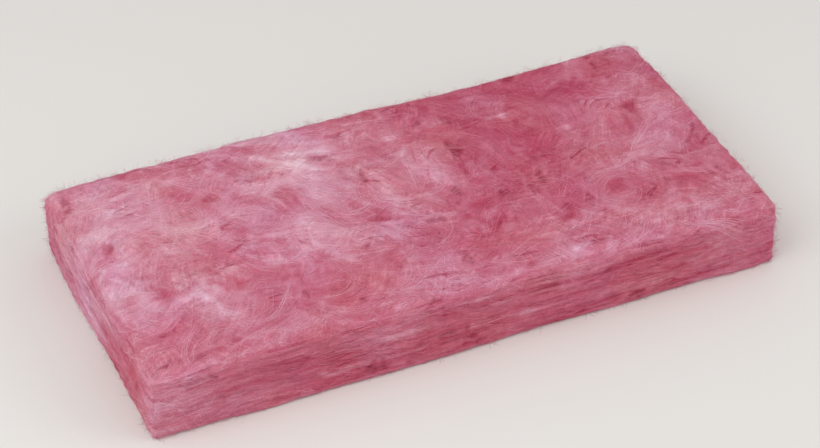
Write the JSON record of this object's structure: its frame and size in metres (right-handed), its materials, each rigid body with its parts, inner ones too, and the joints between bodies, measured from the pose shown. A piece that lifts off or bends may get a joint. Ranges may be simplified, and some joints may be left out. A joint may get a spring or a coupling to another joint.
{
  "type": "glass wool insulation batt",
  "caption": "Soft rectangular slab of felted glass wool, cut to wedge between studs and nogs and fill a cavity of a timber-framed wall.",
  "frame": {"origin": "middle of the flat back face, on the surface that the batt lies on", "axes": "+Z through the thickness, from the back face to the room face; +X along the length, which stands upright in a wall; +Y across the width, from stud to stud"},
  "size_m": [0.75, 0.36, 0.0899],
  "materials": {
    "glass_wool": "matte"
  },
  "bodies": {
    "root": {"insulation_batt": "glass_wool"}
  },
  "joints": []
}
